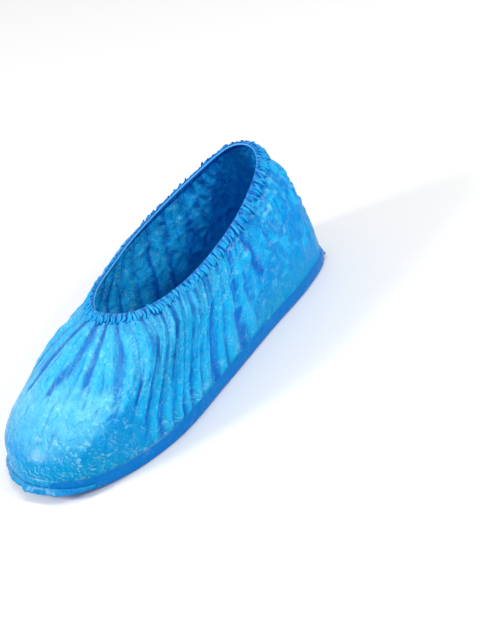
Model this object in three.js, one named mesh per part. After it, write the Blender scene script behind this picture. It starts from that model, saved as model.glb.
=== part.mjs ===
// A disposable overshoe of thin blue film, in the form that it has on a left shoe.
// Millimetres, +Z up. The toe points to -Y, the heel to +Y and the outer side of the foot to +X.
// The origin is on the inner face of the sole, where the sole of the shoe stands.
import * as THREE from "three";

// Film, hem and seams
const WALL = 1.5;
const GAP = 0.3;
const HEM_WIDTH = 8;
const HEM_GAP = 0.6;
const HEM_ROUND = 1;
const ELASTIC_RADIUS = 0.9;
const ELASTIC_SIDES = 6;
const SEAM_THICKNESS = 1.2;
const SEAM_WIDTH = 3.5;

// The sole band is the upright strip of film between the tread and the feather line
const BAND_HEIGHT = 10;
const BAND_CORNER = 1.6;
const FEATHER_INSET = 1.4;
const TOE_LIFT = 6;
const TOE_LIFT_START = -85;
const TOE_LIFT_RUN = 58;

// Gathers run down from the hem, pleats are the small folds of the hem itself
const GATHERS = 24;
const GATHER_DEPTH = 1.7;
const PLEATS = 64;
const PLEAT_DEPTH = 1.3;

// Mesh steps
const COLUMNS = 96;
const BAND_ROWS = 3;
const WALL_ROWS = 11;
const SOLE_STEPS = 5;
const PLEAT_STEPS = 3;
const SEAM_REACH = 7;

// One row for each station round the foot, from the toe by the outer side to the heel and back.
// sole: the outline of the tread. hem: a point of the opening.
// lean, rise: how the wall leaves the feather line. reach, drop: how it comes to the hem.
const STATIONS = [
  { at: "toe", sole: [-3, -142], hem: [0, -42, 73], lean: 3, rise: 20, reach: 56, drop: 25 },
  { at: "toe_outer", sole: [31, -134], hem: [19, -34, 72], lean: 3, rise: 21, reach: 46, drop: 22 },
  { at: "ball_outer_front", sole: [49, -104], hem: [29, -16, 72], lean: 3, rise: 26, reach: 32, drop: 14 },
  { at: "ball_outer", sole: [58, -58], hem: [33, 8, 73], lean: 2, rise: 30, reach: 20, drop: 10 },
  { at: "waist_outer", sole: [53, -2], hem: [33, 36, 76], lean: 1, rise: 34, reach: 14, drop: 8 },
  { at: "heel_outer_front", sole: [46, 58], hem: [29, 70, 81], lean: 1, rise: 36, reach: 12, drop: 10 },
  { at: "heel_outer", sole: [41, 110], hem: [18, 108, 88], lean: 1, rise: 36, reach: 16, drop: 12 },
  { at: "heel_outer_back", sole: [29, 144], hem: [8, 126, 95], lean: 0, rise: 32, reach: 18, drop: 13 },
  { at: "heel", sole: [-3, 152], hem: [-6, 132, 97], lean: 0, rise: 32, reach: 18, drop: 15 },
  { at: "heel_inner_back", sole: [-28, 143], hem: [-22, 128, 93], lean: 0, rise: 34, reach: 14, drop: 15 },
  { at: "heel_inner", sole: [-38, 108], hem: [-36, 106, 83], lean: 1, rise: 38, reach: 8, drop: 14 },
  { at: "heel_inner_front", sole: [-40, 58], hem: [-40, 74, 78], lean: 1, rise: 34, reach: 7, drop: 10 },
  { at: "waist_inner", sole: [-41, 0], hem: [-38, 36, 75], lean: 1, rise: 32, reach: 8, drop: 9 },
  { at: "ball_inner", sole: [-46, -56], hem: [-34, 8, 72], lean: 2, rise: 26, reach: 8, drop: 12 },
  { at: "ball_inner_front", sole: [-47, -98], hem: [-27, -17, 71], lean: 4, rise: 23, reach: 17, drop: 21 },
  { at: "toe_inner", sole: [-36, -125], hem: [-15, -34, 71], lean: 6, rise: 22, reach: 40, drop: 26 },
];

// How strong the gathers are along the wall, from the feather line (0) to the hem (1)
const GATHER_FADE = [
  { along: 0.0, depth: 0.0 },
  { along: 0.2, depth: 0.15 },
  { along: 0.5, depth: 0.6 },
  { along: 0.8, depth: 1.0 },
  { along: 1.0, depth: 0.35 },
];

function closedCurve(points) {
  return new THREE.CatmullRomCurve3(points, true, "catmullrom", 0.5);
}

const soleCurve = closedCurve(STATIONS.map((row) => new THREE.Vector3(row.sole[0], row.sole[1], 0)));
const hemCurve = closedCurve(STATIONS.map((row) => new THREE.Vector3(...row.hem)));
const lowerHandle = closedCurve(STATIONS.map((row) => new THREE.Vector3(row.lean, 0, row.rise)));
const upperHandle = closedCurve(STATIONS.map((row) => new THREE.Vector3(row.reach, 0, -row.drop)));

// The tread is flat from the heel to the ball and lifts under the toe
function toeLift(y) {
  const run = Math.max(0, (TOE_LIFT_START - y) / TOE_LIFT_RUN);
  return TOE_LIFT * run * run;
}

// Plan direction that points away from the foot at a share of the way round
function outwardAt(around) {
  const along = soleCurve.getTangent(around);
  return new THREE.Vector3(along.y, -along.x, 0).normalize();
}

function solePoint(around, inset, height) {
  const point = soleCurve.getPoint(around).addScaledVector(outwardAt(around), -inset);
  point.z = toeLift(point.y) + height - WALL;
  return point;
}

// The film between the feather line and the edge of the opening
function wallCurve(around) {
  const outward = outwardAt(around);
  const feather = solePoint(around, FEATHER_INSET, BAND_HEIGHT);
  const hem = hemCurve.getPoint(around);
  const lower = lowerHandle.getPoint(around);
  const upper = upperHandle.getPoint(around);
  const start = feather.clone().addScaledVector(outward, lower.x);
  start.z += lower.z;
  const finish = hem.clone().addScaledVector(outward, upper.x);
  finish.z += upper.z;
  return new THREE.CubicBezierCurve3(feather, start, finish, hem);
}

function gatherFade(along) {
  const next = GATHER_FADE.findIndex((row) => row.along >= along);
  if (next <= 0) {
    return GATHER_FADE[0].depth;
  }
  const low = GATHER_FADE[next - 1];
  const high = GATHER_FADE[next];
  return THREE.MathUtils.mapLinear(along, low.along, high.along, low.depth, high.depth);
}

// One column of the wall, from the tread's edge up to the foot of the hem
function wallColumn(around) {
  const curve = wallCurve(around);
  const filmShare = 1 - (HEM_WIDTH + HEM_GAP) / curve.getLength();
  const points = [solePoint(around, BAND_CORNER, 0)];
  points.push(solePoint(around, 0, BAND_CORNER));
  for (let row = 2; row < BAND_ROWS; row += 1) {
    points.push(solePoint(around, 0, BAND_HEIGHT - BAND_CORNER));
  }
  for (let row = 0; row <= WALL_ROWS; row += 1) {
    points.push(curve.getPointAt((filmShare * row) / WALL_ROWS));
  }
  return points;
}

function indexedGeometry(points, triangles) {
  const geometry = new THREE.BufferGeometry().setFromPoints(points);
  geometry.setIndex(triangles);
  geometry.computeVertexNormals();
  return geometry;
}

// The whole film as one open sheet: the tread, the band and the wall. The rim is its last row.
function filmSheet() {
  const rows = BAND_ROWS + WALL_ROWS + 1;
  const points = [];
  const triangles = [];
  for (let column = 0; column < COLUMNS; column += 1) {
    points.push(...wallColumn(column / COLUMNS));
  }
  const wallIndex = (column, row) => ((column + COLUMNS) % COLUMNS) * rows + row;
  for (let column = 0; column < COLUMNS; column += 1) {
    for (let row = 0; row < rows - 1; row += 1) {
      const a = wallIndex(column, row);
      const b = wallIndex(column + 1, row);
      const c = wallIndex(column + 1, row + 1);
      const d = wallIndex(column, row + 1);
      triangles.push(a, b, c, a, c, d);
    }
  }

  // Rungs across the tread join the two sides, and a fan closes each end
  const half = COLUMNS / 2;
  const rungs = [[wallIndex(0, 0)]];
  for (let column = 1; column < half; column += 1) {
    const outer = points[wallIndex(column, 0)];
    const inner = points[wallIndex(-column, 0)];
    const rung = [wallIndex(column, 0)];
    for (let step = 1; step < SOLE_STEPS; step += 1) {
      const point = outer.clone().lerp(inner, step / SOLE_STEPS);
      point.z = toeLift(point.y) - WALL;
      rung.push(points.push(point) - 1);
    }
    rung.push(wallIndex(-column, 0));
    rungs.push(rung);
  }
  rungs.push([wallIndex(half, 0)]);
  for (let step = 0; step < rungs.length - 1; step += 1) {
    const low = rungs[step];
    const high = rungs[step + 1];
    for (let side = 0; side < SOLE_STEPS; side += 1) {
      if (high.length > 1) {
        triangles.push(low[Math.min(side, low.length - 1)], high[side + 1], high[side]);
      }
      if (low.length > 1) {
        triangles.push(low[side], low[side + 1], high[Math.min(side + 1, high.length - 1)]);
      }
    }
  }
  const rim = Array.from({ length: COLUMNS }, (_, column) => wallIndex(column, rows - 1));
  return { points, triangles, rim, rows };
}

// Moves the smooth wall out and in along its own normals, so that it falls into gathers
function gathered(sheet) {
  const normals = indexedGeometry(sheet.points, sheet.triangles).getAttribute("normal");
  return sheet.points.map((point, index) => {
    const column = Math.floor(index / sheet.rows);
    const row = (index % sheet.rows) - BAND_ROWS;
    if (column >= COLUMNS || row < 0) {
      return point;
    }
    const swell = Math.cos((2 * Math.PI * GATHERS * column) / COLUMNS);
    const depth = GATHER_DEPTH * gatherFade(row / WALL_ROWS) * swell;
    return point.clone().addScaledVector(new THREE.Vector3().fromBufferAttribute(normals, index), depth);
  });
}

// Gives an open sheet its wall and closes it along the rim
function thickened(points, triangles, rim) {
  const normals = indexedGeometry(points, triangles).getAttribute("normal");
  const inner = points.map((point, index) => {
    const normal = new THREE.Vector3().fromBufferAttribute(normals, index);
    return point.clone().addScaledVector(normal, -WALL);
  });
  const count = points.length;
  const closed = [...triangles];
  for (let index = 0; index < triangles.length; index += 3) {
    closed.push(triangles[index] + count, triangles[index + 2] + count, triangles[index + 1] + count);
  }
  rim.forEach((here, index) => {
    const next = rim[(index + 1) % rim.length];
    closed.push(here, next, next + count, here, next + count, here + count);
  });
  return indexedGeometry([...points, ...inner], closed);
}

// A solid through sections of equal count: a ring where it closes on itself, capped where not
function loft(sections, isRing) {
  const size = sections[0].length;
  const triangles = [];
  const last = isRing ? sections.length : sections.length - 1;
  for (let step = 0; step < last; step += 1) {
    const here = step * size;
    const next = ((step + 1) % sections.length) * size;
    for (let corner = 0; corner < size; corner += 1) {
      const after = (corner + 1) % size;
      triangles.push(here + corner, next + corner, next + after);
      triangles.push(here + corner, next + after, here + after);
    }
  }
  if (!isRing) {
    const end = last * size;
    for (let corner = 1; corner < size - 1; corner += 1) {
      triangles.push(0, corner, corner + 1);
      triangles.push(end, end + corner + 1, end + corner);
    }
  }
  return indexedGeometry(sections.flat(), triangles);
}

// A point of the hem, at a distance below its edge and a distance out from the wall's face
function hemPoint(around, below, out) {
  const curve = wallCurve(around);
  const share = 1 - below / curve.getLength();
  const up = curve.getTangentAt(share);
  const across = new THREE.Vector3().crossVectors(hemCurve.getTangent(around), up).normalize();
  return curve.getPointAt(share).addScaledVector(across, out);
}

function filmBody() {
  const sheet = filmSheet();
  return thickened(gathered(sheet), sheet.triangles, sheet.rim);
}

function hemCasing() {
  const count = PLEATS * PLEAT_STEPS;
  const sections = Array.from({ length: count }, (_, index) => {
    const fold = index % PLEAT_STEPS === 0 ? PLEAT_DEPTH : 0;
    const around = index / count;
    return [
      hemPoint(around, HEM_WIDTH, -WALL),
      hemPoint(around, HEM_WIDTH, fold),
      hemPoint(around, HEM_ROUND, fold),
      hemPoint(around, 0, -WALL / 2),
      hemPoint(around, HEM_ROUND, -WALL),
    ];
  });
  return loft(sections, true);
}

function elasticCord() {
  const sections = Array.from({ length: COLUMNS }, (_, column) => {
    return Array.from({ length: ELASTIC_SIDES }, (_, side) => {
      const turn = (2 * Math.PI * side) / ELASTIC_SIDES;
      const below = ELASTIC_RADIUS * (2 - Math.sin(turn));
      const out = ELASTIC_RADIUS * (Math.cos(turn) - 1) - WALL - GAP;
      return hemPoint(column / COLUMNS, below, out);
    });
  });
  return loft(sections, true);
}

// The two layers of film are welded across each end, and the weld stands out as a ragged fin
function endSeam(middleColumn, height) {
  const sections = [];
  for (let step = -SEAM_REACH; step <= SEAM_REACH; step += 1) {
    const around = ((middleColumn + step + COLUMNS) % COLUMNS) / COLUMNS;
    const taper = Math.cos((Math.PI * step) / (2 * SEAM_REACH + 2));
    const ragged = 0.8 * Math.sin(step * 2.3);
    const root = solePoint(around, -GAP, height);
    const tip = root.clone().addScaledVector(outwardAt(around), SEAM_WIDTH * taper + ragged);
    tip.z += ragged;
    const lift = new THREE.Vector3(0, 0, SEAM_THICKNESS);
    sections.push([root, tip, tip.clone().add(lift), root.clone().add(lift)]);
  }
  return loft(sections, false);
}

function piece(name, geometry, colour, roughness) {
  const material = new THREE.MeshStandardMaterial({ color: colour, roughness, metalness: 0 });
  const mesh = new THREE.Mesh(geometry, material);
  mesh.name = name;
  return mesh;
}

const cover = new THREE.Group();
cover.add(piece("film_body", filmBody(), 0x1f9fe8, 0.3));
cover.add(piece("hem_casing", hemCasing(), 0x0f78dc, 0.35));
cover.add(piece("elastic_cord", elasticCord(), 0x7cc4f5, 0.6));
cover.add(piece("toe_seam", endSeam(0, 3), 0x2a93df, 0.35));
cover.add(piece("heel_seam", endSeam(COLUMNS / 2, 3), 0x2a93df, 0.35));

export default cover;
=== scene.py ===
import bpy
import numpy as np
from mathutils import Matrix, Vector


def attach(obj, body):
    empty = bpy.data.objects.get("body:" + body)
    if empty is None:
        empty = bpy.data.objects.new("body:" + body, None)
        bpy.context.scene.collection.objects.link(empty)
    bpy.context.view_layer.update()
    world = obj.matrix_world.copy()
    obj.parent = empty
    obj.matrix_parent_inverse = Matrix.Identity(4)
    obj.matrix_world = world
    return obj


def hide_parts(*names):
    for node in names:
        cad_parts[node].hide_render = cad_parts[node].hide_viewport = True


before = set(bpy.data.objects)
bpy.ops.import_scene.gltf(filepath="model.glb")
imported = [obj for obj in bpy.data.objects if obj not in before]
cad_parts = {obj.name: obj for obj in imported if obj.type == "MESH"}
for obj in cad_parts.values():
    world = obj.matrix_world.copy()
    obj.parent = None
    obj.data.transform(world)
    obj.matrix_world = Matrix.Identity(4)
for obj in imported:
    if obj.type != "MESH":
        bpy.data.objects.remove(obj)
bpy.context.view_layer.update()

# ---------------------------------------------------------------------------------------------
# Film body. One bag of blown polyethylene film, a few hundredths of a millimetre thick. It starts
# as a straight tube as wide as the sole, and the elastic draws its top in until the spare width
# falls into gathers over the vamp and the sides.
# ---------------------------------------------------------------------------------------------

MM = 0.001

# One row for each station round the foot, from the toe by the outer side to the heel and back:
# sole x, y | hem x, y, z | lean and rise off the feather line | reach and drop to the hem (mm)
STATIONS = np.array([
    (-3, -142, 0, -42, 73, 3, 20, 56, 25),     # toe
    (31, -134, 19, -34, 72, 3, 21, 46, 22),    # toe, outer side
    (49, -104, 29, -16, 72, 3, 26, 32, 14),    # before the ball, outer side
    (58, -58, 33, 8, 73, 2, 30, 20, 10),       # ball, outer side
    (53, -2, 33, 36, 76, 1, 34, 14, 8),        # waist, outer side
    (46, 58, 29, 70, 81, 1, 36, 12, 10),       # before the heel, outer side
    (41, 110, 18, 108, 88, 1, 36, 16, 12),     # heel, outer side
    (29, 144, 8, 126, 95, 0, 32, 18, 13),      # heel corner, outer side
    (-3, 152, -6, 132, 97, 0, 32, 18, 15),     # heel
    (-28, 143, -22, 128, 93, 0, 34, 14, 15),   # heel corner, inner side
    (-38, 108, -36, 106, 83, 1, 38, 8, 14),    # heel, inner side
    (-40, 58, -40, 74, 78, 1, 34, 7, 10),      # before the heel, inner side
    (-41, 0, -38, 36, 75, 1, 32, 8, 9),        # waist, inner side
    (-46, -56, -34, 8, 72, 2, 26, 8, 12),      # ball, inner side
    (-47, -98, -27, -17, 71, 4, 23, 17, 21),   # before the ball, inner side
    (-36, -125, -15, -34, 71, 6, 22, 40, 26),  # toe, inner side
], float)

TREAD = -1.5
BAND_HEIGHT = 10.0
BAND_CORNER = 1.6
FEATHER_INSET = 1.4
TOE_LIFT, TOE_LIFT_START, TOE_LIFT_RUN = 6.0, -85.0, 58.0
HEM_WIDTH = 8.0
PLEATS = 92
CURVE_STEPS = 161


def unit(vectors):
    return vectors / np.maximum(np.linalg.norm(vectors, axis=-1, keepdims=True), 1e-12)


def round_curve(values, around):
    """A closed curve through the rows of values, at shares of the way round."""
    place = np.asarray(around) * len(values)
    step = np.floor(place).astype(int)
    part = (place - step)[:, None]
    a, b, c, d = (values[(step + shift) % len(values)] for shift in (-1, 0, 1, 2))
    bend = (2 * a - 5 * b + 4 * c - d) * part + (3 * b - a - 3 * c + d) * part**2
    return b + 0.5 * part * (c - a + bend)


def outward_at(around):
    """Plan direction that points away from the foot."""
    nearby = 1e-4
    ahead = round_curve(STATIONS[:, :2], np.asarray(around) + nearby)
    along = ahead - round_curve(STATIONS[:, :2], np.asarray(around) - nearby)
    return unit(np.c_[along[:, 1], -along[:, 0], np.zeros(len(along))])


def toe_lift(y):
    """How far the sole is lifted off the ground towards the toe."""
    return TOE_LIFT * np.clip((TOE_LIFT_START - y) / TOE_LIFT_RUN, 0, None) ** 2


def sole_points(around, inset, height):
    """The outline of the sole band, moved in from its widest place and up from the tread."""
    plan = round_curve(STATIONS[:, :2], around)
    points = np.c_[plan, np.zeros(len(plan))] - outward_at(around) * inset
    points[:, 2] = toe_lift(points[:, 1]) + height + TREAD
    return points


def upper_points(around, below_edge, rows):
    """The smooth upper in even rows, from the feather line to a distance below its edge, and its length."""
    out = outward_at(around)
    low = sole_points(around, FEATHER_INSET, BAND_HEIGHT)
    hem = round_curve(STATIONS[:, 2:5], around)
    lean, rise, reach, drop = round_curve(STATIONS[:, 5:], around).T[:, :, None]
    up = np.array([0, 0, 1.0])
    lower = low + out * lean + up * rise
    upper = hem + out * reach - up * drop
    k = np.linspace(0, 1, CURVE_STEPS)[:, None, None]
    curve = (1 - k)**3 * low + 3 * k * (1 - k)**2 * lower + 3 * k**2 * (1 - k) * upper + k**3 * hem
    steps = np.linalg.norm(np.diff(curve, axis=0), axis=2)
    travelled = np.vstack([np.zeros(len(around)), np.cumsum(steps, axis=0)])
    grid = np.empty((rows, len(around), 3))
    for column in range(len(around)):
        at = np.linspace(0, 1, rows) * (travelled[-1, column] - below_edge)
        for axis in range(3):
            grid[:, column, axis] = np.interp(at, travelled[:, column], curve[:, column, axis])
    return grid, travelled[-1] - below_edge


def grid_normals(grid):
    """Outward normals of rows of points, each row closed on itself."""
    sideways = np.roll(grid, -1, axis=1) - np.roll(grid, 1, axis=1)
    return unit(np.cross(sideways, np.gradient(grid, axis=0)))


def hills(rows, columns, cells, seed):
    """Soft random hills from -1 to 1 on a grid whose rows close on themselves."""
    knots = np.random.default_rng(seed).uniform(-1, 1, (cells[0] + 1, cells[1]))
    down = np.linspace(0, cells[0] - 1e-6, rows)
    side = np.arange(columns) * cells[1] / columns
    row, column = down.astype(int), side.astype(int)
    fall, run = (down - row)[:, None], (side - column)[None, :]
    fall, run = fall**2 * (3 - 2 * fall), run**2 * (3 - 2 * run)
    after = (column + 1) % cells[1]
    top = knots[row][:, column] * (1 - run) + knots[row][:, after] * run
    base = knots[row + 1][:, column] * (1 - run) + knots[row + 1][:, after] * run
    return top * (1 - fall) + base * fall


def pleat_wave(around):
    """The small folds of the drawn hem, from 0 to 1, of uneven width and height."""
    around = np.asarray(around)
    spread = 0.35 * np.sin(2 * np.pi * 7 * around) + 0.3 * np.sin(2 * np.pi * 17 * around + 1.3)
    ridge = np.abs(np.cos(np.pi * (PLEATS * around + spread)))
    uneven = np.sin(2 * np.pi * 23 * around + 0.7) * np.sin(2 * np.pi * 11 * around)
    return ridge**0.8 * (0.72 + 0.28 * uneven)


def new_piece(name, points, faces):
    """A smooth-shaded mesh object, in metres."""
    mesh = bpy.data.meshes.new(name)
    mesh.from_pydata(np.asarray(points, float).tolist(), [], faces)
    mesh.polygons.foreach_set("use_smooth", [True] * len(mesh.polygons))
    mesh.update()
    piece = bpy.data.objects.new(name, mesh)
    bpy.context.scene.collection.objects.link(piece)
    return piece


def grid_faces(rows, columns):
    """Faces between rows of points, each row closed on itself."""
    faces = []
    for row in range(rows - 1):
        here, above = row * columns, (row + 1) * columns
        for column in range(columns):
            after = (column + 1) % columns
            faces.append((here + column, here + after, above + after, above + column))
    return faces


def add_values(piece, name, values):
    """A number for each vertex, for the materials to read. Vertices past the last value get 0."""
    layer = piece.data.attributes.new(name, "FLOAT", "POINT")
    filled = np.zeros(len(piece.data.vertices), np.float32)
    filled[:len(values)] = values
    layer.data.foreach_set("value", filled)


def add_vectors(piece, name, vectors):
    layer = piece.data.attributes.new(name, "FLOAT_VECTOR", "POINT")
    layer.data.foreach_set("vector", np.asarray(vectors, np.float32).ravel())


def thicken(piece, thickness, side):
    """Gives a sheet its thickness in mm: side -1 puts it inside the surface, 0 on both sides."""
    wall = piece.modifiers.new("wall", "SOLIDIFY")
    wall.thickness = thickness * MM
    wall.offset = side


COLUMNS = 420
FILM_ROWS = 88
HEM_OVERLAP = 1.0
FILM_THICKNESS = 0.25
# The film's own size once laid out flat round the foot and up the wall, for its crumples
GIRTH, TALL = 780.0, 120.0
film_around = np.arange(COLUMNS) / COLUMNS
rise_share = np.linspace(0, 1, FILM_ROWS)[:, None]
smooth_wall, wall_length = upper_points(film_around, HEM_WIDTH - HEM_OVERLAP, FILM_ROWS)
wall_out = grid_normals(smooth_wall)
flat_u = film_around[None, :] * GIRTH + np.zeros((FILM_ROWS, 1))
flat_v = rise_share * wall_length[None, :]

# How far each fold drifts towards the toe's centre line on its way up, for each station
DRIFT = np.array([0, 0.95, 0.8, 0.45, 0.25, 0.15, 0.1, 0.05,
                  0, 0, -0.1, -0.15, -0.25, -0.45, -0.8, -0.95])
# How full the gathers are at each station, and how low on the film they end: 0 at the band, 1 at the hem
FULLNESS = np.array([0.9, 1.05, 1.2, 1.2, 0.85, 0.2, 0.1, 0.12,
                     0.2, 0.2, 0.35, 0.7, 1.0, 1.1, 1.1, 1.0])
LOWEST = np.array([0.36, 0.28, -0.05, -0.25, -0.25, 0.1, 0.6, 0.62,
                   0.6, 0.6, 0.45, 0.2, -0.1, -0.1, 0.0, 0.28])


def fold_place(around, rise):
    """The share of the way round the hem that the fold through each point comes from."""
    fine = np.linspace(-0.5, 1.5, 2001)
    drift = round_curve(DRIFT[:, None], fine)[:, 0] / len(DRIFT)
    return np.stack([np.interp(around, fine + drift * (1 - row**1.8), fine) for row in rise[:, 0]])


def laid_folds(phase, seed, spread):
    """Folds laid over to one side, from 0 in the valley to 1, and three random numbers of each fold."""
    index = np.floor(phase).astype(int)
    part = phase - index
    numbers = np.random.default_rng(seed).uniform(0, 1, (3, FOLD_NUMBERS))
    own = numbers[:, index % FOLD_NUMBERS]
    lean = 1 + spread * (own[2] - 0.5)
    return np.sin(np.pi * part**lean) ** 0.85, own


# Folds of three sizes lie over each other, from the hem's small pleats to the few that reach lowest:
# how many | depth, mm | lowest share of the wall | share they ease in over | seed | wander | shading
FOLD_NUMBERS = 400
FOLDS = [(PLEATS, 1.4, 0.35, 0.3, 3, 0.35, 0.6),
         (PLEATS // 2, 2.8, 0.0, 0.22, 5, 0.4, 1.0),
         (PLEATS // 4, 1.8, 0.0, 0.3, 7, 0.4, 0.4)]


def gathers():
    """The gathers over the smooth film: their height in mm, how much painted shade each point gets in the
    fold valleys and painted highlight on the crests (0 to 1), and the share of the way round the hem that
    its fold comes from."""
    hem_share = fold_place(film_around, rise_share)
    station = hem_share.reshape(-1)
    full = round_curve(FULLNESS[:, None], station).reshape(hem_share.shape)
    lowest = round_curve(LOWEST[:, None], station).reshape(hem_share.shape)
    height = np.zeros(hem_share.shape)
    valley = np.zeros(hem_share.shape)
    crest = np.zeros(hem_share.shape)
    for count, depth, bottom, ease, seed, wander, shading in FOLDS:
        warp = hills(FILM_ROWS, COLUMNS, (1, count // 2), seed) * wander
        warp = warp + hills(FILM_ROWS, COLUMNS, (8, count), seed + 20) * 0.05
        ridge, own = laid_folds(hem_share * count + warp, seed, 0.9)
        end = np.maximum(bottom - 0.3, lowest) + 0.35 * (own[0] - 0.4) * (1 - bottom)
        reach = np.clip((rise_share - end) / ease, 0, 1)
        reach = reach * reach * (3 - 2 * reach)
        near_hem = np.clip((1 - rise_share) * 7, 0.35, 1) if count < PLEATS else 1
        size = depth * (0.45 + 0.75 * own[1]) * full * reach * near_hem
        height += size * (ridge - 0.35)
        # Painted shade in the valley of each fold and a painted highlight on its crest.
        valley += shading * np.minimum(1, size / 0.9) * (1 - ridge) ** 2.2
        crest += shading * np.minimum(1, size / 1.3) * ridge**3
    return height, np.clip(valley, 0, 1), np.clip(crest, 0, 1), hem_share


def facets(spacing, seed):
    """Crumpled facets: their height, 0 on the creases and up to 1, and for each one a random number from -1
    to 1 that is painted as shade where high and as a highlight where low.
    """
    random = np.random.default_rng(seed)
    count = int(GIRTH * TALL / spacing**2)
    middles = np.c_[random.uniform(0, GIRTH, count), random.uniform(-5, TALL, count)]
    pair_lighting = random.uniform(-1, 1, (count, count))
    height, facet_lighting = np.zeros(flat_u.shape), np.zeros(flat_u.shape)
    for row in range(FILM_ROWS):
        sideways = np.abs(flat_u[row][:, None] - middles[None, :, 0])
        sideways = np.minimum(sideways, GIRTH - sideways)
        away = np.hypot(sideways, flat_v[row][:, None] - middles[None, :, 1])
        nearest = np.argpartition(away, 1, axis=1)[:, :2]
        pair = np.take_along_axis(away, nearest, axis=1)
        height[row] = (pair[:, 1] - pair[:, 0]) / spacing
        facet_lighting[row] = pair_lighting[nearest[:, 0], nearest[:, 1]]
    return height, facet_lighting


# How loosely the film lies at each station, which is how much it crumples there
LOOSE = np.array([0.25, 0.3, 0.4, 0.5, 0.9, 2.0, 2.1, 1.3, 0.8, 1.2, 1.9, 1.8, 0.9, 0.5, 0.4, 0.3])
gather_height, valley, crest, hem_share = gathers()
loose = round_curve(LOOSE[:, None], film_around)[:, 0][None, :]
loose = loose * np.clip(rise_share * 2.2 - 0.1, 0.12, 1) * np.clip((1 - rise_share) * 14, 0, 1)
wide_height, wide_lighting = facets(17.0, 31)
small_height, small_lighting = facets(8.5, 32)
crumple = (2.2 * (wide_height - 0.4) + 1.4 * (small_height - 0.4)) * loose
held = np.clip(rise_share * 30, 0, 1)
offset = (gather_height + crumple) * held
# Painted light on the facets: a facet painted as catching the light gets a painted highlight, one painted
# as turned away from it gets painted shade.
facet = (0.5 * wide_lighting + 0.6 * small_lighting) * np.clip(loose, 0, 1.2)
valley = np.clip(valley + np.clip(facet - 0.25, 0, 0.25), 0, 1)
crest = np.clip(crest + np.clip(-facet - 0.05, 0, 0.9), 0, 1)
wall = smooth_wall + wall_out * offset[:, :, None]

# The band below the feather line and the tread close the bag. The tread's rungs run across it.
BAND = [(BAND_CORNER, 0), (0.5, 0.45), (0, BAND_CORNER), (0, 4), (0, 6.5), (0.15, 8.6), (0.6, 9.6)]
SOLE_STEPS = 24
band_rows = np.stack([sole_points(film_around, inset, height) for inset, height in BAND])
film_grid = np.concatenate([band_rows, wall])
film_rows = len(film_grid)
film_points = film_grid.reshape(-1, 3).tolist()
film_faces = grid_faces(film_rows, COLUMNS)
rungs = [[0]]
for column in range(1, COLUMNS // 2):
    outer, inner = np.array(film_points[column]), np.array(film_points[COLUMNS - column])
    rung = [column]
    for step in range(1, SOLE_STEPS):
        point = outer + (inner - outer) * step / SOLE_STEPS
        point[2] = toe_lift(point[1]) + TREAD
        rung.append(len(film_points))
        film_points.append(point.tolist())
    rungs.append(rung + [COLUMNS - column])
rungs.append([COLUMNS // 2])
for low, high in zip(rungs, rungs[1:]):
    for side in range(SOLE_STEPS):
        if len(low) == 1:
            film_faces.append((low[0], high[side + 1], high[side]))
        elif len(high) == 1:
            film_faces.append((low[side], low[side + 1], high[0]))
        else:
            film_faces.append((low[side], low[side + 1], high[side + 1], high[side]))

film = new_piece("film_bag", np.array(film_points) * MM, film_faces)

# The materials read these values at each point. Height goes from 0 at the feather line to 1 at the
# hem, and is below 0 on the band and the tread. At the toe the film hangs loosely over the band and
# hides it.
TOE_MIDDLE = 0.98
from_toe = (film_around - TOE_MIDDLE) % 1
from_toe = np.minimum(from_toe, 1 - from_toe)
bare = np.clip((from_toe - 0.05) / 0.02, 0, 1)
no_band = np.zeros((len(BAND), COLUMNS))
band_height = np.linspace(-1, -0.05, len(BAND))[:, None] * bare + 0.12 * (1 - bare)
wall_height = rise_share + np.zeros((1, COLUMNS))
tread_height = np.full(len(film_points) - film_rows * COLUMNS, -1.0)
add_values(film, "height", np.r_[np.vstack([band_height, wall_height]).ravel(), tread_height])
add_values(film, "valley", np.vstack([no_band, valley]).ravel())
add_values(film, "crest", np.vstack([no_band, crest]).ravel())
CRINKLE = np.array([1, 1, 1, 0.95, 0.9, 0.6, 0.25, 0.12, 0.12, 0.12, 0.3, 0.7, 0.9, 1, 1, 1])
crinkle = round_curve(CRINKLE[:, None], film_around)[:, 0][None, :]
crinkle = crinkle + 0.45 * np.clip(rise_share * 2 - 1, 0, 1)
band_crinkle = 0.15 + 0.85 * (1 - bare) + no_band
add_values(film, "crinkle", np.clip(np.vstack([band_crinkle, crinkle]), 0, 1).ravel())

# A place that hardly changes along a fold, for the fine streaks that run with the folds
STREAK_GIRTH, STREAK_RISE = 0.12, 0.13
turn = 2 * np.pi * np.vstack([np.repeat(hem_share[:1], len(BAND), axis=0), hem_share])
climb = np.vstack([no_band, flat_v]) * MM * STREAK_RISE
along = np.zeros((len(film_points), 3))
along[:film_rows * COLUMNS] = np.stack(
    [STREAK_GIRTH * np.cos(turn), STREAK_GIRTH * np.sin(turn), climb], axis=-1).reshape(-1, 3)
add_vectors(film, "along", along)
streaky = np.clip(np.abs(round_curve(FULLNESS[:, None], film_around))[:, 0] * 1.1 - 0.1, 0, 1)[None, :]
streaky = streaky * np.clip(rise_share * 2.5 - 0.1, 0, 1)
add_values(film, "streaky", np.vstack([no_band, streaky]).ravel())
thicken(film, FILM_THICKNESS, -1)


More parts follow.
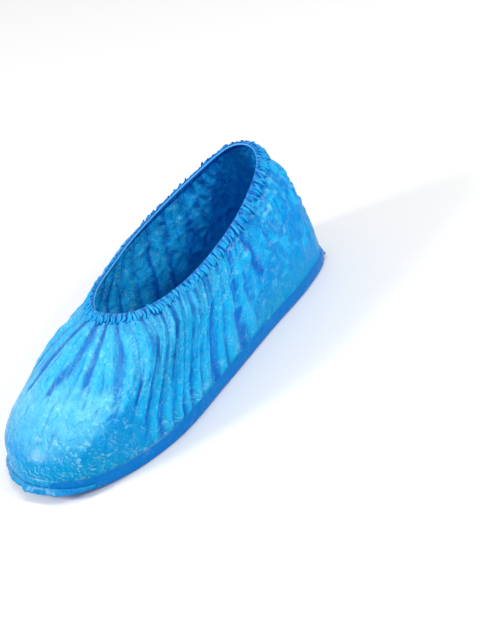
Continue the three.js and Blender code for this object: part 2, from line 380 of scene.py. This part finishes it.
class Thread:
    """A socket of a node tree. Sums and products of threads and numbers add Math nodes."""

    def __init__(self, tree, socket=None):
        self.tree = tree
        self.socket = socket

    def node(self, kind, settings=None, inputs=None, output=0):
        """Adds any node: its settings come first, then the values or threads of its sockets."""
        made = self.tree.nodes.new(kind)
        for name, value in (settings or {}).items():
            setattr(made, name, value)
        for name, value in (inputs or {}).items():
            if isinstance(value, Thread):
                self.tree.links.new(value.socket, made.inputs[name])
            else:
                made.inputs[name].default_value = value
        return Thread(self.tree, made.outputs[output])

    def math(self, operation, *values):
        return self.node("ShaderNodeMath", {"operation": operation}, dict(enumerate(values)))

    def __add__(self, other):
        return self.math("ADD", self, other)

    def __sub__(self, other):
        return self.math("SUBTRACT", self, other)

    def __rsub__(self, other):
        return self.math("SUBTRACT", other, self)

    def __mul__(self, other):
        return self.math("MULTIPLY", self, other)

    __radd__ = __add__
    __rmul__ = __mul__

    def between(self, low, high):
        """0 below low and 1 above high, eased."""
        limits = {"Value": self, "From Min": low, "From Max": high}
        return self.node("ShaderNodeMapRange", {"interpolation_type": "SMOOTHSTEP"}, limits)

    def blend(self, first, second):
        """A colour from first to second as this thread goes from 0 to 1."""
        inputs = {0: self, 6: first, 7: second}
        return self.node("ShaderNodeMix", {"data_type": "RGBA"}, inputs, output=2)


def new_material(name):
    """A material, a thread that adds nodes to it, and its Principled shader."""
    material = bpy.data.materials.new(name)
    material.use_nodes = True
    return material, Thread(material.node_tree), material.node_tree.nodes["Principled BSDF"]


def join(material, value, socket):
    material.node_tree.links.new(value.socket, socket)


# LIGHT_CYAN is painted where the film faces up: a painted highlight from the light above.
LIGHT_CYAN = (0.13, 0.64, 0.92, 1)
SKY_BLUE = (0.0, 0.27, 0.69, 1)
TEAL_BLUE = (0.0, 0.30, 0.57, 1)
# DEEP_BLUE is painted shade in the fold valleys and on the dark side of the crinkles and streaks, and also
# the film's deeper colour near the hem and on some tucks.
DEEP_BLUE = (0.0, 0.12, 0.55, 1)
BAND_BLUE = (0.0, 0.17, 0.53, 1)
# Painted glint colour, for the lit side of each crinkle.
CREASE_GLINT = (0.55, 0.88, 1.0, 1)
# Painted highlight colour, for the fold crests and the light streaks.
HIGHLIGHT_BLUE = (0.01, 0.49, 0.88, 1)


def crinkles(thread, place, shift):
    """Sharp creases of many sizes. A shift reads them a little to one side."""
    moved = thread.node("ShaderNodeVectorMath", {"operation": "ADD"}, {0: place, 1: (shift, 0.0, shift)})
    ridged = {"noise_type": "RIDGED_MULTIFRACTAL", "normalize": False}
    sizes = {"Vector": moved, "Scale": 1.7, "Detail": 4.0, "Roughness": 0.7, "Lacunarity": 2.2,
             "Offset": 0.9, "Gain": 2.0}
    return thread.node("ShaderNodeTexNoise", ridged, sizes)


def film_material(name, sky, top, lightness, deepening):
    """Thin glossy film, with a painted highlight where it faces up, and painted shade in the fold valleys,
    partly also the film lying double there. sky is its colour on the sides and top its colour where it
    faces up, lightness is the strength of its painted glints on the crinkles, and deepening is how much
    painted shade its valleys get."""
    material, thread, shader = new_material(name)
    place = thread.node("ShaderNodeTexCoord", output="Object")
    flat = thread.node("ShaderNodeVectorMath", {"operation": "SCALE"}, {0: place, "Scale": 100.0})
    warp = thread.node("ShaderNodeTexNoise", {}, {"Vector": flat, "Scale": 1.4, "Detail": 3.0}, "Color")
    warped = thread.node("ShaderNodeMix", {"data_type": "VECTOR"}, {0: 0.3, 4: flat, 5: warp}, output=1)
    crinkle = thread.node("ShaderNodeAttribute", {"attribute_name": "crinkle"}, output="Fac")
    creased = crinkles(thread, warped, 0.0)
    slope = creased - crinkles(thread, warped, 0.05)
    facets = thread.node("ShaderNodeTexVoronoi", {"feature": "F1"}, {"Vector": warped, "Scale": 3.4})
    way = thread.node("ShaderNodeAttribute", {"attribute_name": "along"}, output="Vector")
    streaky = thread.node("ShaderNodeAttribute", {"attribute_name": "streaky"}, output="Fac")
    streak = thread.node("ShaderNodeTexNoise", {}, {"Vector": way, "Scale": 420.0, "Detail": 2.5})
    relief = (creased * 0.5 + facets * 0.7) * (crinkle * 0.85 + 0.15) + streak * streaky * 1.6
    bump = thread.node("ShaderNodeBump", {}, {"Strength": 0.9, "Distance": 0.0009, "Height": relief})

    normal = thread.node("ShaderNodeNewGeometry", output="Normal")
    upward = thread.node("ShaderNodeSeparateXYZ", {}, {0: normal}, "Z")
    height = thread.node("ShaderNodeAttribute", {"attribute_name": "height"}, output="Fac")
    valley = thread.node("ShaderNodeAttribute", {"attribute_name": "valley"}, output="Fac")
    crest = thread.node("ShaderNodeAttribute", {"attribute_name": "crest"}, output="Fac")
    patches = thread.node("ShaderNodeTexNoise", {}, {"Vector": flat, "Scale": 0.45, "Detail": 2.0})
    grain = thread.node("ShaderNodeTexNoise", {}, {"Vector": flat, "Scale": 7.0, "Detail": 3.0})

    # Painted highlight: the film is lighter where it faces up, as if lit from above.
    colour = (upward + (patches - 0.5) * 0.5).between(0.5, 1.0).blend(sky, top)
    low_side = (1 - height.between(0.0, 0.5)) * patches.between(0.2, 0.6)
    colour = (low_side * 0.8).blend(colour, TEAL_BLUE)
    # Painted shade in the fold valleys, partly also the film lying double there.
    colour = (valley.between(0.05, 0.7) * deepening).blend(colour, DEEP_BLUE)
    colour = (height.between(0.86, 1.0) * 0.5).blend(colour, DEEP_BLUE)
    shade = thread.node("ShaderNodeAttribute", {"attribute_name": "shade"}, output="Fac")
    colour = shade.blend(colour, DEEP_BLUE)
    on_band = 1 - height.between(-0.06, -0.01)
    colour = on_band.blend(colour, BAND_BLUE)
    # Painted highlight on the fold crests.
    colour = (crest.between(0.0, 1.0) * 0.7).blend(colour, HIGHLIGHT_BLUE)
    # Light and dark streaks along the folds: painted highlight and painted shade of fine creases, also used
    # as bumps.
    colour = (streak.between(0.54, 0.68) * streaky * 0.55).blend(colour, HIGHLIGHT_BLUE)
    colour = ((1 - streak).between(0.56, 0.7) * streaky * 0.5).blend(colour, DEEP_BLUE)
    # A painted emboss: the crinkles read a little to one side give painted shade on one side of each
    # crinkle and painted glints on the other.
    emboss_amount = crinkle * (patches.between(0.35, 0.65) * 0.6 + 0.4) * (1 - valley * 0.7)
    colour = (slope.between(0.05, 0.9) * emboss_amount * 0.4).blend(colour, DEEP_BLUE)
    colour = ((0 - slope).between(0.05, 0.9) * emboss_amount * lightness).blend(colour, CREASE_GLINT)
    rough = grain * 0.16 + patches * 0.1 + 0.12
    join(material, colour, shader.inputs["Base Color"])
    join(material, rough, shader.inputs["Roughness"])
    join(material, bump, shader.inputs["Normal"])
    shader.inputs["IOR"].default_value = 1.5
    shader.inputs["Specular IOR Level"].default_value = 0.07
    join(material, upward.between(0.4, 0.9) * 0.4, shader.inputs["Coat Weight"])
    shader.inputs["Coat Roughness"].default_value = 0.28
    return material


film.data.materials.append(film_material("film_blue", SKY_BLUE, LIGHT_CYAN, 0.34, 0.85))
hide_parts("film_body")
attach(film, "root")

# ---------------------------------------------------------------------------------------------
# Hem casing. The edge of the film, folded over the elastic and welded to itself, so it is several
# layers deep. The elastic draws it into small upright pleats, deeper in colour than the film.
# ---------------------------------------------------------------------------------------------

HEM_COLUMNS = PLEATS * 8
HEM_STEPS = 240
HEM_INNER = -0.7
# Each row of the casing: distance below the edge, and out from the film's face, mm. The last
# column is how much of the pleats' depth the row takes.
HEM_SECTION = [(8.0, -0.2, 1.0), (6.6, 0.0, 1.0), (5.0, 0.05, 1.0), (3.4, 0.05, 0.95), (2.0, 0.0, 0.85),
               (0.9, -0.1, 0.7), (0.2, -0.25, 0.5), (0.0, -0.45, 0.3), (0.3, HEM_INNER, 0.1),
               (2.0, HEM_INNER, 0.0), (5.0, HEM_INNER, 0.0), (8.0, HEM_INNER, 0.0)]
PLEAT_DEPTH = 1.7

hem_around = np.arange(HEM_COLUMNS) / HEM_COLUMNS


def hem_frame(around):
    """The smooth upper up to its edge, its outward normals and its length at each place round it."""
    face, _ = upper_points(around, 0, HEM_STEPS)
    lengths = np.linalg.norm(np.diff(face, axis=0), axis=2).sum(axis=0)
    return face, grid_normals(face), lengths


hem_face, hem_out, hem_length = hem_frame(hem_around)


def on_hem(below, out):
    """Points at a distance below the edge and out from the film's face, all the way round."""
    place = (1 - below / hem_length) * (len(hem_face) - 1)
    row = np.clip(np.floor(place).astype(int), 0, len(hem_face) - 2)
    part = (place - row)[:, None]
    column = np.arange(HEM_COLUMNS)
    face = hem_face[row, column] * (1 - part) + hem_face[row + 1, column] * part
    return face + hem_out[row, column] * np.asarray(out).reshape(-1, 1)


def tube_faces(rows, columns):
    """Faces of a closed section's rows, the last one joined to the first."""
    faces = grid_faces(rows, columns)
    top = (rows - 1) * columns
    for column in range(columns):
        after = (column + 1) % columns
        faces.append((top + column, top + after, after, column))
    return faces


pleats = pleat_wave(hem_around)
hem_rows = [on_hem(below + 0.5 * pleats * (below < 0.5), out + PLEAT_DEPTH * share * pleats)
            for below, out, share in HEM_SECTION]
hem_count = len(hem_rows)
hem = new_piece("hem_band", np.concatenate(hem_rows) * MM, tube_faces(hem_count, HEM_COLUMNS))
# The pleats get painted shade in their valleys and a painted highlight on their crests.
add_values(hem, "valley", np.concatenate([(1 - pleats) ** 1.5 for _ in hem_rows]))
add_values(hem, "crinkle", np.full(hem_count * HEM_COLUMNS, 0.8))
add_values(hem, "crest", np.concatenate([pleats**5 * 0.6 for _ in hem_rows]))
add_values(hem, "height", np.full(hem_count * HEM_COLUMNS, 0.75))
# HEM_TOP_BLUE is the casing's colour where it faces up, a painted highlight from the light above.
HEM_SIDE_BLUE = (0.0, 0.20, 0.60, 1)
HEM_TOP_BLUE = (0.02, 0.34, 0.76, 1)
hem_look = film_material("hem_blue", HEM_SIDE_BLUE, HEM_TOP_BLUE, 0.3, 0.95)
hem.data.materials.append(hem_look)
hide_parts("hem_casing")
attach(hem, "root")

# Loose tucks of film stand out along the casing, each a small bent leaf. One leaf is set on every
# point of a path by Geometry Nodes, turned to the path's own directions, in random sizes.
TUCKS = 190
TUCK_ROWS = 7
TUCK_ACROSS = (-1.0, -0.45, 0.0, 0.3, 0.42)
TUCK_OUT = (0.0, 0.75, 1.15, 0.8, 0.0)
TUCK_HALF_WIDTH, TUCK_LENGTH, TUCK_HEIGHT = 1.9, 8.4, 1.8
TUCK_THICKNESS = 0.2
leaf_points, leaf_valley = [], []
for row in range(TUCK_ROWS):
    along = row / (TUCK_ROWS - 1)
    swell = np.sin(np.pi * (0.08 + 0.84 * along)) ** 0.6
    for across, out in zip(TUCK_ACROSS, TUCK_OUT):
        bend = 0.5 * np.sin(3.5 * along)
        leaf_points.append(((across * swell + bend) * TUCK_HALF_WIDTH * MM,
                            (along - 0.5) * TUCK_LENGTH * MM, out * swell * TUCK_HEIGHT * MM))
        leaf_valley.append(max(0.0, 1 - out * swell * 1.4))
leaf_faces = []
for row in range(TUCK_ROWS - 1):
    for column in range(len(TUCK_ACROSS) - 1):
        here = row * len(TUCK_ACROSS) + column
        leaf_faces.append((here, here + 1, here + 1 + len(TUCK_ACROSS), here + len(TUCK_ACROSS)))
leaf = new_piece("tuck_leaf", leaf_points, leaf_faces)
# Each leaf gets painted shade where it lies low against the casing and a painted highlight where it stands
# out.
add_values(leaf, "valley", leaf_valley)
add_values(leaf, "crest", [max(0.0, 1 - 1.8 * value) for value in leaf_valley])
add_values(leaf, "crinkle", [0.6] * len(leaf_valley))
add_values(leaf, "height", [0.75] * len(leaf_valley))

tuck_random = np.random.default_rng(12)
tuck_around = (np.arange(TUCKS) + tuck_random.uniform(-0.35, 0.35, TUCKS)) / TUCKS
tuck_face, tuck_out, tuck_length = hem_frame(tuck_around)
tuck_below = 4.7 + tuck_random.uniform(-0.6, 1.6, TUCKS)
tuck_row = ((1 - tuck_below / tuck_length) * (len(tuck_face) - 1)).astype(int)
every = np.arange(TUCKS)
path_out = tuck_out[tuck_row, every]
path_up = unit(tuck_face[tuck_row + 3, every] - tuck_face[tuck_row - 3, every])
path = new_piece("hem_tucks", (tuck_face[tuck_row, every] + path_out * 0.4) * MM, [])
add_vectors(path, "out", path_out)
add_vectors(path, "up", path_up)
add_values(path, "shade", tuck_random.uniform(-0.5, 0.85, TUCKS).clip(0, 1))

tree = bpy.data.node_groups.new("tucks_on_path", "GeometryNodeTree")
tree.interface.new_socket("Geometry", in_out="INPUT", socket_type="NodeSocketGeometry")
for name, kind in (("Leaf", "Object"), ("Material", "Material"), ("Seed", "Int")):
    tree.interface.new_socket(name, in_out="INPUT", socket_type="NodeSocket" + kind)
tree.interface.new_socket("Geometry", in_out="OUTPUT", socket_type="NodeSocketGeometry")
group_in = tree.nodes.new("NodeGroupInput")
group_out = tree.nodes.new("NodeGroupOutput")
nodes = Thread(tree)
given = {socket.name: Thread(tree, socket) for socket in group_in.outputs if socket.name}
vector_kind = {"data_type": "FLOAT_VECTOR"}
out_way = nodes.node("GeometryNodeInputNamedAttribute", vector_kind, {"Name": "out"})
up_way = nodes.node("GeometryNodeInputNamedAttribute", vector_kind, {"Name": "up"})
turned = nodes.node("FunctionNodeAxesToRotation", {"primary_axis": "Z", "secondary_axis": "Y"},
                    {"Primary Axis": out_way, "Secondary Axis": up_way})
tilt = nodes.node("FunctionNodeRandomValue", vector_kind,
                  {0: (-0.1, -0.4, -0.38), 1: (0.1, 0.4, 0.38), "Seed": given["Seed"]})
tilted = nodes.node("FunctionNodeRotateRotation", {"rotation_space": "LOCAL"},
                    {"Rotation": turned, "Rotate By": tilt})
size = nodes.node("FunctionNodeRandomValue", vector_kind,
                  {0: (0.45, 0.55, 0.35), 1: (1.2, 1.2, 1.15), "Seed": given["Seed"]})
shape = nodes.node("GeometryNodeObjectInfo", {"transform_space": "ORIGINAL"}, {"Object": given["Leaf"]},
                   "Geometry")
placed = nodes.node("GeometryNodeInstanceOnPoints", {},
                    {"Points": given["Geometry"], "Instance": shape, "Rotation": tilted, "Scale": size})
real = nodes.node("GeometryNodeRealizeInstances", {}, {"Geometry": placed})
painted = nodes.node("GeometryNodeSetMaterial", {}, {"Geometry": real, "Material": given["Material"]})
tree.links.new(painted.socket, group_out.inputs[0])

grow = path.modifiers.new("tucks", "NODES")
grow.node_group = tree
values = {"Leaf": leaf, "Material": hem_look, "Seed": 3}
for item in tree.interface.items_tree:
    if item.in_out == "INPUT" and item.name in values:
        grow[item.identifier] = values[item.name]
grown = bpy.data.meshes.new_from_object(path.evaluated_get(bpy.context.evaluated_depsgraph_get()))
bpy.data.objects.remove(path)
bpy.data.objects.remove(leaf)
tucks = bpy.data.objects.new("hem_tucks", grown)
bpy.context.scene.collection.objects.link(tucks)
thicken(tucks, TUCK_THICKNESS, 0)
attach(tucks, "root")

# ---------------------------------------------------------------------------------------------
# Elastic. A thin blue thread of spun elastic that runs in the top of the hem, closed on itself. It
# shows as a brighter line along the inner edge of the opening.
# ---------------------------------------------------------------------------------------------

ELASTIC_RADIUS = 0.7
ELASTIC_SIDES = 10
ELASTIC_DARK = (0.03, 0.34, 0.80, 1)
ELASTIC_LIGHT = (0.10, 0.48, 0.92, 1)
elastic_rows = []
for side in range(ELASTIC_SIDES):
    turn = 2 * np.pi * side / ELASTIC_SIDES
    below = 0.9 + 0.25 * pleats - ELASTIC_RADIUS * np.sin(turn)
    out = HEM_INNER - ELASTIC_RADIUS * (1 - np.cos(turn))
    elastic_rows.append(on_hem(below, np.full(HEM_COLUMNS, out)))
elastic_faces = tube_faces(ELASTIC_SIDES, HEM_COLUMNS)
elastic = new_piece("elastic_loop", np.concatenate(elastic_rows) * MM, elastic_faces)
spun, thread, shader = new_material("elastic_light_blue")
place = thread.node("ShaderNodeTexCoord", output="Object")
twist = thread.node("ShaderNodeTexNoise", {}, {"Vector": place, "Scale": 900.0, "Detail": 2.0})
join(spun, twist.blend(ELASTIC_DARK, ELASTIC_LIGHT), shader.inputs["Base Color"])
spun_bump = thread.node("ShaderNodeBump", {}, {"Strength": 0.4, "Distance": 0.0002, "Height": twist})
join(spun, spun_bump, shader.inputs["Normal"])
shader.inputs["Roughness"].default_value = 0.45
elastic.data.materials.append(spun)
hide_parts("elastic_cord")
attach(elastic, "root")

# ---------------------------------------------------------------------------------------------
# End seams. The tube of film is welded shut across the toe and across the heel, and cut off just
# outside the weld. Each weld stands out from the band as a short fin with a ragged, wavy edge.
# ---------------------------------------------------------------------------------------------

SEAM_COLUMNS = 120
SEAM_ROWS = 11
SEAM_FOOT = 4.6
SEAM_CURL = 1.4
SEAM_THICKNESS = 0.3
SEAM_HUMPS, SEAM_TEARS = 19, 55
# WELD_TOP_BLUE is the fins' colour where they face up, a painted highlight from the light above.
WELD_SIDE_BLUE = (0.0, 0.17, 0.54, 1)
WELD_TOP_BLUE = (0.0, 0.24, 0.62, 1)


def seam_fin(name, middle, reach, width, seed):
    """A ragged fin round one end of the sole. middle is its place round the sole and reach how far it
    goes to each side, both as shares of the way round, and width is how far it stands out in mm."""
    share = np.linspace(-1, 1, SEAM_COLUMNS)
    around = (middle + share * reach) % 1
    taper = np.clip(np.cos(share * np.pi / 2), 0, 1) ** 0.45
    random = np.random.default_rng(seed)
    knots = np.linspace(-1, 1, SEAM_HUMPS)
    humps = np.interp(share, knots, random.uniform(-1, 1, len(knots)))
    tears = np.interp(share, np.linspace(-1, 1, SEAM_TEARS), random.uniform(-1, 1, SEAM_TEARS))
    waves = np.interp(share, knots, random.uniform(-1, 1, len(knots)))
    root, out = sole_points(around, -0.3, SEAM_FOOT), outward_at(around)
    rows = []
    for step in np.linspace(0, 1, SEAM_ROWS):
        spread = width * taper * (1 + 0.35 * humps + 0.10 * tears) * step
        droop = (-SEAM_FOOT + 0.2) * step**SEAM_CURL * taper * (0.8 + 0.2 * waves)
        ripple = 0.5 * waves * np.sin(np.pi * step) * taper
        rows.append(root + out * (spread + ripple)[:, None] + droop[:, None] * np.array([0, 0, 1.0]))
    points = np.concatenate(rows)
    faces = []
    for row in range(SEAM_ROWS - 1):
        for column in range(SEAM_COLUMNS - 1):
            here = row * SEAM_COLUMNS + column
            faces.append((here, here + SEAM_COLUMNS, here + SEAM_COLUMNS + 1, here + 1))
    fin = new_piece(name, points * MM, faces)
    add_values(fin, "crinkle", np.full(len(points), 0.7))
    add_values(fin, "height", np.full(len(points), 0.1))
    thicken(fin, SEAM_THICKNESS, 0)
    return fin


weld = film_material("weld_blue", WELD_SIDE_BLUE, WELD_TOP_BLUE, 0.2, 0.8)
for name, node, middle, reach, width, seed in (
        ("toe_fin", "toe_seam", 0.005, 0.085, 3.4, 5), ("heel_fin", "heel_seam", 0.5, 0.07, 2.6, 8)):
    fin = seam_fin(name, middle, reach, width, seed)
    fin.data.materials.append(weld)
    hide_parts(node)
    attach(fin, "root")

# ---------------------------------------------------------------------------------------------
# Stage. A pale floor, three soft lamps from the front, the outer side and above, and a long lens
# that looks down from in front of the outer side, with the camera rolled.
# ---------------------------------------------------------------------------------------------

FLOOR_Z = (TREAD - 0.1) * MM
FLOOR_HALF = 9
corners = [(x * FLOOR_HALF, y * FLOOR_HALF, FLOOR_Z) for x, y in ((-1, -1), (1, -1), (1, 1), (-1, 1))]
floor = new_piece("floor", corners, [(0, 1, 2, 3)])
paint, thread, shader = new_material("floor_white")
shader.inputs["Base Color"].default_value = (0.98, 0.98, 0.98, 1)
shader.inputs["Roughness"].default_value = 0.6
floor.data.materials.append(paint)

AZIMUTH, ELEVATION, ROLL = np.radians([46.4, 32.8, 16.4])
DISTANCE = 1.2
AIM = Vector((0.0448, 0.0317, 0.0251))
level_way = np.cos(ELEVATION)
away = Vector((np.sin(AZIMUTH) * level_way, -np.cos(AZIMUTH) * level_way, np.sin(ELEVATION)))
camera_data = bpy.data.cameras.new("camera")
camera_data.lens = 101.25
camera_data.clip_end = 30
camera = bpy.data.objects.new("camera", camera_data)
bpy.context.scene.collection.objects.link(camera)
level = away.to_track_quat("Z", "Y").to_matrix().to_4x4()
camera.matrix_world = Matrix.Translation(AIM + away * DISTANCE) @ level @ Matrix.Rotation(-ROLL, 4, "Z")
bpy.context.scene.camera = camera


def add_lamp(name, place, size, power):
    """A square lamp of a size in metres and a power in watts, turned to the origin."""
    lamp = bpy.data.lights.new(name, "AREA")
    lamp.size = size
    lamp.energy = power
    holder = bpy.data.objects.new(name, lamp)
    bpy.context.scene.collection.objects.link(holder)
    holder.location = place
    holder.rotation_euler = Vector(place).to_track_quat("Z", "Y").to_euler()


add_lamp("front_soft", (-0.7, -1.1, 0.8), 0.4, 14)
add_lamp("side_soft", (1.2, 0.3, 0.9), 0.4, 9.5)
add_lamp("top_soft", (0.1, 0.2, 1.6), 0.4, 3)
world = bpy.data.worlds.new("studio")
world.use_nodes = True
world.node_tree.nodes["Background"].inputs["Color"].default_value = (1, 1, 1, 1)
world.node_tree.nodes["Background"].inputs["Strength"].default_value = 0.6
bpy.context.scene.world = world
bpy.context.scene.view_settings.view_transform = "Standard"
